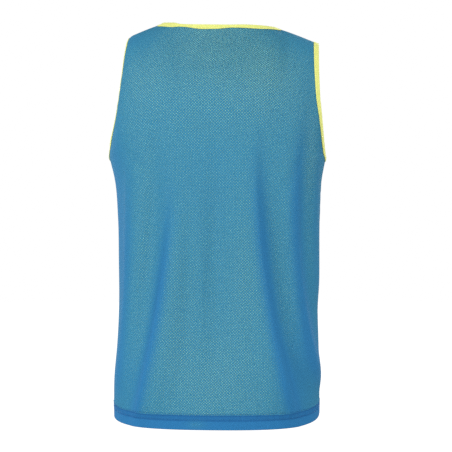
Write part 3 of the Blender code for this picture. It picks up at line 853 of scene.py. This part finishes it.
def blue_mesh():
    material, tree, shader = new_material("Blue mesh", CLOTH_ROUGHNESS, 0.0, BLUE_GLOSS)
    mesh = mesh_nodes(tree, HOLE_RADIUS, (0, 0, 0))
    hem = marks_node(tree, "hem")
    open_share = math_node(tree, "MULTIPLY", mesh.outputs["Hole"], math_node(tree, "SUBTRACT", 1.0, hem))
    tree.links.new(math_node(tree, "SUBTRACT", 1.0, open_share), shader.inputs["Alpha"])
    worn = colour_mix(tree, mesh.outputs["Unevenness"], BLUE_DEEP, BLUE)
    worn = colour_mix(tree, EVEN_SHARE, worn, BLUE)
    # Painted shade: in the hem the holes are not cut, so they are darkened as the shade of the layer behind
    hole_shade = math_node(tree, "MULTIPLY", mesh.outputs["Hole"], HOLE_SHADE)
    doubled = colour_mix(tree, hole_shade, worn, BLUE_DEEP)
    # Painted shade along and between the two rows of stitching in the hem, from the seam mark
    doubled = colour_mix(tree, marks_node(tree, "seam"), doubled, BLUE_STITCH_SHADE)
    single = colour_mix(tree, mesh.outputs["Unevenness"], BLUE_OVER_YELLOW, worn)
    single = colour_mix(tree, OVER_YELLOW_SHARE, single, BLUE_OVER_YELLOW)
    closed = math_node(tree, "MULTIPLY", marks_node(tree, "closed"), CLOSED_SHARE)
    closed = math_node(tree, "MAXIMUM", hem, closed)
    tree.links.new(colour_mix(tree, closed, single, doubled), shader.inputs["Base Color"])
    add_bump(tree, shader, mesh.outputs["Height"], KNIT_BUMP, KNIT_BUMP_DEPTH)
    return material


def yellow_mesh(name, light, deep, shift):
    material, tree, shader = new_material(name, CLOTH_ROUGHNESS, 0.05)
    mesh = mesh_nodes(tree, HOLE_RADIUS, shift)
    tree.links.new(colour_mix(tree, mesh.outputs["Hole"], light, deep), shader.inputs["Base Color"])
    add_bump(tree, shader, mesh.outputs["Height"], KNIT_BUMP, KNIT_BUMP_DEPTH)
    return material


def yellow_tape():
    material, tree, shader = new_material("Yellow tape", 0.60, 0.10)
    place = uv_node(tree)
    ribs, wefts = (
        math_node(tree, "SINE", math_node(tree, "MULTIPLY", vector_node(
            tree, "DOT_PRODUCT", place, turns), math.tau))
        for turns in (TAPE_RIBS, TAPE_WEFTS)
    )
    height = math_node(tree, "MULTIPLY_ADD", ribs, 0.5, wefts)
    uneven = noise(tree, place, 160, 3)
    tree.links.new(colour_mix(tree, smooth_range(tree, uneven, 0.30, 0.75), TAPE_YELLOW_DEEP, TAPE_YELLOW),
                   shader.inputs["Base Color"])
    add_bump(tree, shader, height, 0.25, 0.0002)
    return material


def thread(name, colour, deep):
    material, tree, shader = new_material(name, 0.45, 0.0)
    twist = noise(tree, uv_node(tree), 2400, 2)
    tree.links.new(colour_mix(tree, twist, deep, colour), shader.inputs["Base Color"])
    add_bump(tree, shader, twist, 0.2, 0.0001)
    return material


BLUE_MESH = blue_mesh()
YELLOW_MESH = yellow_mesh("Yellow mesh", YELLOW, YELLOW_DEEP, LINING_SHIFT)
SHADED_MESH = yellow_mesh("Yellow mesh in the shade of the blue", SHADED_YELLOW, SHADED_YELLOW_DEEP,
                          LINING_SHIFT)
YELLOW_TAPE = yellow_tape()
BLUE_THREAD = thread("Blue thread", BLUE, BLUE_DEEP)
YELLOW_THREAD = thread("Yellow thread", TAPE_YELLOW, TAPE_YELLOW_DEEP)
print("mesh:", BLUE_MESH.name, YELLOW_MESH.name, SHADED_MESH.name)
print("trim:", YELLOW_TAPE.name, BLUE_THREAD.name, YELLOW_THREAD.name)

# %% [markdown]
# The two layers
#
# Each layer is one sheet through its points, given its thickness by Solidify. The blue shell is as thick
# as its yarn, so that its holes close when the cloth turns away, as the real ones do. It throws no
# shadow on the lining right behind it, because real yarn lets light through. Small marks stored on the
# points tell the materials where the hem is, where painted shade lies along and between its two rows of
# stitching, and where the mesh is closed or pulled open.

# %% Layers
SEAM_EDGE = 0.001
STITCH_LINE_SHADE, BETWEEN_STITCHES_SHADE = 0.75, 0.35
FLANK_CLOSES = 0.5
BLUE_THICKNESS = 0.0006
LINING_DEPTH = 0.0015
LINING_THICKNESS = 0.0008
HEM_SEAMS = (0.0156, 0.0245)
HEM_SEAM_WIDTHS = (0.0011, 0.0013)
HEM_EDGE = 0.0008
OPEN_HEM = 0.5
OPEN_HEM_PLACE = (-0.026, 0.009)
OPEN_HEM_REACH = (0.016, 0.007)
STRETCH_COLUMNS = ("panel", "x", "drop", "half_width", "half_drop", "amount")
STRETCHES = (
    ("back", 0.005, 0.035, 0.125, 0.100, 0.95),
    ("back", 0.105, 0.090, 0.060, 0.080, 0.52),
    ("back", 0.000, 0.280, 0.110, 0.110, -0.10),
    ("back", 0.000, 0.620, 0.080, 0.080, 0.28),
    ("back", 0.172, 0.240, 0.024, 0.090, 0.60),
    ("back", 0.055, 0.450, 0.030, 0.130, 0.20),
    ("back", -0.060, 0.500, 0.028, 0.110, 0.15),
    ("back", 0.148, 0.610, 0.032, 0.080, -0.60),
    ("back", -0.160, 0.620, 0.030, 0.060, -0.25),
    ("back", -0.176, 0.340, 0.017, 0.150, -0.90),
    ("back", -0.130, 0.110, 0.045, 0.065, 0.25),
    ("back", -0.120, 0.300, 0.018, 0.110, 0.10),
    ("back", -0.146, 0.030, 0.034, 0.026, -0.50),
    ("back", 0.150, 0.035, 0.030, 0.020, -0.30),
    ("front", -0.184, 0.340, 0.014, 0.150, -0.60),
    ("front", 0.000, 0.240, 0.100, 0.080, 0.30),
    ("front", -0.095, 0.080, 0.050, 0.060, 0.25),
    ("front", 0.100, 0.080, 0.050, 0.060, 0.25),
    ("front", 0.010, 0.580, 0.090, 0.090, 0.20),
    ("front", 0.140, 0.560, 0.030, 0.090, -0.40),
    ("front", -0.140, 0.600, 0.030, 0.080, -0.45),
)


def solidify(piece, thickness, inner_material=0):
    """Give a sheet its thickness inwards from its outer face."""
    wall = piece.modifiers.new("Thickness", "SOLIDIFY")
    wall.thickness = thickness
    wall.offset = -1
    wall.material_offset = inner_material
    return wall


def store_marks(piece, name, values):
    mark = piece.data.attributes.new(name, "FLOAT", "POINT")
    mark.data.foreach_set("value", values.astype(np.float32).ravel())


def stretch_marks(name, points):
    """Where the mesh is pulled open, as over the shoulder blades, or pushed together."""
    x, drop = points[:, :, 0], -points[:, :, 2]
    marks = np.zeros_like(x)
    for spot in table_rows(STRETCH_COLUMNS, STRETCHES, name):
        near = bell(x - spot["x"], spot["half_width"]) * bell(drop - spot["drop"], spot["half_drop"])
        marks += spot["amount"] * near
    return marks


def hem_marks(x, up):
    """Where the cloth is doubled by the hem. In one spot the mesh of the hem is pulled open a little."""
    doubled = 1 - eased((up - HEM_DEPTH) / HEM_EDGE + 0.5)
    open_x, open_up = OPEN_HEM_PLACE
    half_width, half_height = OPEN_HEM_REACH
    return doubled * (1 - OPEN_HEM * bell(x - open_x, half_width) * bell(up - open_up, half_height))


def stitch_shade_marks(up):
    """Painted shade along the two rows of stitching in the hem, and a softer painted shade between them."""
    low, high = HEM_SEAMS
    lines = sum(bell(up - place, width) for place, width in zip(HEM_SEAMS, HEM_SEAM_WIDTHS))
    between = eased((up - low) / SEAM_EDGE) * (1 - eased((up - high) / SEAM_EDGE))
    return np.clip(STITCH_LINE_SHADE * lines + BETWEEN_STITCHES_SHADE * between, 0, 1)


def add_layers(name):
    surface, flat, cut = SURFACES[name], FLATS[name], CUTS[name]
    points, normals = surface["points"], surface["normals"]
    up = lengths_along(points, 0)
    raised = points + normals * (HEM_RAISE * (1 - eased((up - HEM_DEPTH) / HEM_STEP)))[:, :, None]
    sign = PANELS[name]["sign"]
    blue = grid_object(f"blue_mesh_{name}", raised, flat, BLUE_MESH, flip=sign > 0)
    store_marks(blue, "hem", hem_marks(points[:, :, 0], up))
    # The seam mark is painted shade along and between the rows of stitching in the hem
    store_marks(blue, "seam", stitch_shade_marks(up))
    flank = flank_marks(name, points[:, :, 0], -points[:, :, 2])
    stretch = stretch_marks(name, points)
    store_marks(blue, "closed", np.clip(flank + np.clip(-stretch, 0, 1), 0, 1))
    store_marks(blue, "stretch", stretch - FLANK_CLOSES * flank)
    solidify(blue, BLUE_THICKNESS)
    blue.visible_shadow = False
    sunk = points - normals * LINING_DEPTH
    lining = grid_object(f"yellow_mesh_{name}", sunk, flat, SHADED_MESH, flip=sign > 0)
    lining.data.materials.append(YELLOW_MESH)
    store_marks(lining, "stretch", stretch_marks(name, points))
    solidify(lining, LINING_THICKNESS, 1)
    for piece, node, slot in ((blue, f"outer_{name}", "blue_mesh"), (lining, f"inner_{name}", "yellow_mesh")):
        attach(piece, "root")
        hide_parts(node)
        print(piece.name, "faces:", len(piece.data.polygons))
    return blue, lining


LAYERS = {name: add_layers(name) for name in PANELS}

# %% [markdown]
# The tapes
#
# A tape is folded over the cut edge of both layers: a leg on the blue face, a round fold past the edge,
# and a leg on the yellow face. Stations run round each opening. At every station the legs are laid on
# the cloth by finding the nearest point of its surface, and the fold is half a circle round the layers.
# Round the back of the neck the tape stands a little uneven, as the real one rolls there.

# %% Tapes
TAPE = 0.0009
TAPE_WIDTH = 0.008
TAPE_CLEAR = 0.0002
TAPE_GAP = 0.0005
LEG_END = 0.06
SEWN_IN = 0.0018
STACK = LINING_DEPTH + 0.0012
FOLD_POINTS = 7
FOLD_FLATNESS = 0.45
LEG_POINTS = 4
# Share of the way round the back of the neck, width there, and how far the fold stands past the cloth
NECK_TAPE = (
    (0.00, 0.0070, 0.0020), (0.04, 0.0074, 0.0042), (0.16, 0.0074, 0.0040), (0.20, 0.0050, 0.0008),
    (0.26, 0.0052, 0.0000), (0.38, 0.0096, 0.0000), (0.50, 0.0088, 0.0000), (0.60, 0.0054, 0.0004),
    (0.70, 0.0050, 0.0018), (0.84, 0.0062, 0.0024), (0.93, 0.0054, 0.0026), (1.00, 0.0070, 0.0012),
)


def surface_tree(depth):
    """A search tree over both panels at a depth under their outer faces."""
    points, faces, start = [], [], 0
    for name, surface in SURFACES.items():
        grid = surface["points"] - surface["normals"] * depth
        quads = grid_faces(*grid.shape[:2])
        if PANELS[name]["sign"] > 0:
            quads = quads[:, ::-1]
        points += grid.reshape(-1, 3).tolist()
        faces += (quads + start).tolist()
        start = len(points)
    return BVHTree.FromPolygons(points, faces)


def evened(ways, passes=14):
    """Unit directions round a loop, each averaged with its neighbours many times."""
    for _ in range(passes):
        ways = unit(ways)
        ways = ways * 2 + np.roll(ways, 1, axis=0) + np.roll(ways, -1, axis=0)
    return unit(ways)


def edge_loop(kind):
    """Stations round an opening: points on the cloth's edge, its normals and the ways in."""
    back, front = SURFACES["back"], SURFACES["front"]
    if kind == "neck":
        chosen = (-1, np.flatnonzero(np.abs(back["columns"]) <= NECK_SHARE + 1e-9))
    else:
        chosen = (slice(back["underarm_row"], None), 0 if kind == "left" else -1)
    points = np.concatenate([back["points"][chosen][:-1], front["points"][chosen][:0:-1]])
    normals = evened(np.concatenate([back["normals"][chosen][:-1], front["normals"][chosen][:0:-1]]))
    along = np.roll(points, -1, axis=0) - np.roll(points, 1, axis=0)
    inward = evened(np.cross(normals, along))
    if ((points - points.mean(axis=0)) * inward).sum() < 0:
        inward = -inward
    return points, normals, inward


def laid_on(tree, targets, clear):
    """Targets moved onto a surface and off it again by a clearance."""
    laid = []
    for target in targets:
        found, normal, _, _ = tree.find_nearest(Vector(target))
        laid.append(found + normal * clear)
    return np.array(laid)


def tape_shape(kind, stations):
    """The width of the tape and how far its fold stands past the cloth, at each station."""
    shape = np.full((stations, 2), (TAPE_WIDTH, TAPE_GAP))
    if kind == "neck":
        half = stations // 2
        shares, widths, gaps = zip(*NECK_TAPE)
        places = np.arange(half) / half
        shape[:half] = np.stack([np.interp(places, shares, widths), np.interp(places, shares, gaps)], axis=1)
    for _ in range(3):
        shape = (shape * 2 + np.roll(shape, 1, axis=0) + np.roll(shape, -1, axis=0)) / 4
    return shape.T


def add_tape(kind, name, outer_tree, inner_tree):
    points, normals, inward = edge_loop(kind)
    widths, gaps = tape_shape(kind, len(points))
    off = TAPE_CLEAR + TAPE / 2
    leg = np.linspace(1, LEG_END, LEG_POINTS)
    rows = [laid_on(outer_tree, points + inward * (widths * share)[:, None], off) for share in leg]
    middle = points - normals * STACK / 2 - inward * gaps[:, None]
    radius = STACK / 2 + off
    for turn in np.linspace(0, np.pi, FOLD_POINTS):
        past = radius * math.sin(turn) * FOLD_FLATNESS
        rows.append(middle + normals * radius * math.cos(turn) - inward * past)
    inner_points = points - normals * STACK
    rows += [laid_on(inner_tree, inner_points + inward * TAPE_WIDTH * share, -off) for share in leg[::-1]]
    grid = np.array(rows)
    along = run_along(points)
    across = lengths_along(grid, 0)
    flat = np.stack([np.broadcast_to(along, across.shape), across], axis=2)
    tape = grid_object(name, grid, flat, YELLOW_TAPE, closed=True)
    wall = solidify(tape, TAPE)
    wall.offset = 0
    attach(tape, "root")
    length = float(along[-1] + np.linalg.norm(points[0] - points[-1]))
    print(name, "stations:", len(points), "length:", round(length, 3))
    sewn = laid_on(outer_tree, points + inward * (widths - SEWN_IN)[:, None], TAPE_CLEAR + TAPE)
    return {"piece": tape, "length": length, "sewn": sewn, "normals": normals}


OUTER_TREE, INNER_TREE = surface_tree(0.0), surface_tree(STACK)
TAPES = {}
for kind, tape_name, node in (("neck", "neck_tape", "neck_binding"),
                              ("left", "armhole_tape_left", "armhole_binding_left"),
                              ("right", "armhole_tape_right", "armhole_binding_right")):
    TAPES[kind] = add_tape(kind, tape_name, OUTER_TREE, INNER_TREE)
    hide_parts(node)

# %% [markdown]
# The sewing
#
# A stitch is a short, thick piece of thread whose ends dip into the cloth. One stitch is shaped once, and
# its copies are joined into one mesh for each row: two rows round the hem, and one along each tape.

# %% Stitches
STITCH_PITCH = 0.0032
STITCH_LENGTH = 0.0025
STITCH_RADIUS = 0.00026
STITCH_SIDES = 6
STITCH_RINGS = ((0.0, 0.35, -0.6), (0.2, 1.0, 0.25), (0.5, 1.0, 0.5), (0.8, 1.0, 0.25), (1.0, 0.35, -0.6))
HEM_STITCH_ROWS = (15, 23)


def walked(points, normals, pitch, closed):
    """Places one pitch apart along a line, with the way ahead and the way out at each."""
    if closed:
        points = np.vstack([points, points[:1]])
        normals = np.vstack([normals, normals[:1]])
    run = run_along(points)
    count = int(run[-1] / pitch)
    places = (np.arange(count) + 0.5) * run[-1] / count

    def at(values, where):
        return np.stack([np.interp(where, run, values[:, k]) for k in range(3)], axis=1)

    after, before = np.minimum(places + pitch / 2, run[-1]), np.maximum(places - pitch / 2, 0)
    ahead = at(points, after) - at(points, before)
    return at(points, places), unit(ahead), unit(at(normals, places))


def add_stitches(name, lines, material):
    """Join a stitch at each place of the lines into one mesh."""
    verts, faces, flats = [], [], []
    ring_count = len(STITCH_RINGS)
    turns = np.linspace(0, math.tau, STITCH_SIDES, endpoint=False)
    for points, normals, closed in lines:
        for place, ahead, out in zip(*walked(points, normals, STITCH_PITCH, closed)):
            side = np.cross(ahead, out)
            start = len(verts)
            for share, thick, rise in STITCH_RINGS:
                centre = place + ahead * (share - 0.5) * STITCH_LENGTH + out * rise * STITCH_RADIUS
                for turn in turns:
                    away = (side * math.cos(turn) + out * math.sin(turn)) * STITCH_RADIUS * thick
                    verts.append(tuple(centre + away))
                    flats.append((share * STITCH_LENGTH, turn * STITCH_RADIUS))
            for ring in range(ring_count - 1):
                for k in range(STITCH_SIDES):
                    after = (k + 1) % STITCH_SIDES
                    low, high = start + ring * STITCH_SIDES, start + (ring + 1) * STITCH_SIDES
                    faces.append((low + k, low + after, high + after, high + k))
            faces.append(tuple(start + k for k in range(STITCH_SIDES - 1, -1, -1)))
            end = start + (ring_count - 1) * STITCH_SIDES
            faces.append(tuple(end + k for k in range(STITCH_SIDES)))
    made = cloth_object(name, verts, faces, np.array(flats), material)
    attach(made, "root")
    print(name, "stitches:", len(faces) // ((ring_count - 1) * STITCH_SIDES + 2))
    return made


def hem_lines(name):
    surface = SURFACES[name]
    lifted = surface["points"] + surface["normals"] * HEM_RAISE
    return [(lifted[row], surface["normals"][row], False) for row in HEM_STITCH_ROWS]


HEM_STITCHES = {
    name: add_stitches(f"hem_stitches_{name}", hem_lines(name), BLUE_THREAD) for name in PANELS
}


TAPE_STITCHES = {
    kind: add_stitches(f"tape_stitches_{kind}", [(made["sewn"], made["normals"], True)], YELLOW_THREAD)
    for kind, made in TAPES.items()
}

# %% [markdown]
# Counting the sheets
#
# Here the sheets are counted: two layers for each panel and a tape for each opening. The layers' cut size is
# the flat shape found above.

# %% Sheets
print("sheets:", 2 * len(LAYERS) + len(TAPES))

# %% [markdown]
# A plain studio
#
# Soft, almost frontal light with a stronger side on the left, so that folds which face left are bright
# and those which face right are deeper. Two more lamps light the front. The floor and the backdrop are
# plain and white. Denoising would take the fine mesh for grain and wipe it out, so it is off.

# %% Light and floor
WHITE = (1.0, 1.0, 1.0, 1.0)
FLOOR_Z = -1.38
LAMPS = {
    "Key": {"place": (-2.5, -2.2, -0.05), "size": 1.5, "watts": 63},
    "Fill": {"place": (1.4, -3.0, 1.40), "size": 2.4, "watts": 56},
    "Right": {"place": (3.0, -0.7, 0.10), "size": 2.0, "watts": 22},
    "Beyond": {"place": (1.2, 3.0, 1.00), "size": 2.4, "watts": 46},
    "Beyond left": {"place": (-2.6, 2.0, 0.30), "size": 2.0, "watts": 34},
}
AMBIENT = 0.58
FLOOR_RADIUS = 20
FLOOR_GREY = (0.5, 0.5, 0.5, 1)
FLOOR_GLOW = 0.8


def add_light(name, settings):
    lamp = add_object(name, bpy.data.lights.new(name, "AREA"))
    lamp.data.size = settings["size"]
    lamp.data.energy = settings["watts"]
    lamp.location = settings["place"]
    aim = Vector((0, 0, VIEW_CENTRE_Z)) - lamp.location
    lamp.rotation_euler = aim.to_track_quat("-Z", "Y").to_euler()
    return lamp


def add_world():
    world = bpy.data.worlds.new("Studio")
    world.use_nodes = True
    tree = world.node_tree
    background = tree.nodes["Background"]
    background.inputs["Color"].default_value = WHITE
    seen = tree.nodes.new("ShaderNodeLightPath").outputs["Is Camera Ray"]
    strength = math_node(tree, "MULTIPLY_ADD", seen, 1.0 - AMBIENT, AMBIENT)
    tree.links.new(strength, background.inputs["Strength"])
    bpy.context.scene.world = world


def add_floor():
    bpy.ops.object.select_all(action="DESELECT")
    bpy.ops.mesh.primitive_circle_add(
        vertices=64, radius=FLOOR_RADIUS, fill_type="NGON", location=(0, 0, FLOOR_Z))
    floor = bpy.context.object
    floor.name = "Floor"
    material, tree, shader = new_material("White floor", 0.9, 0.0)
    shader.inputs["Base Color"].default_value = FLOOR_GREY
    shader.inputs["Emission Color"].default_value = WHITE
    seen = tree.nodes.new("ShaderNodeLightPath").outputs["Is Camera Ray"]
    tree.links.new(math_node(tree, "MULTIPLY", seen, FLOOR_GLOW), shader.inputs["Emission Strength"])
    floor.data.materials.append(material)
    return floor


for lamp_name, lamp_settings in LAMPS.items():
    add_light(lamp_name, lamp_settings)
add_world()
add_floor()
bpy.context.scene.view_settings.view_transform = "Standard"
bpy.context.scene.cycles.use_denoising = False
print("floor at", FLOOR_Z)
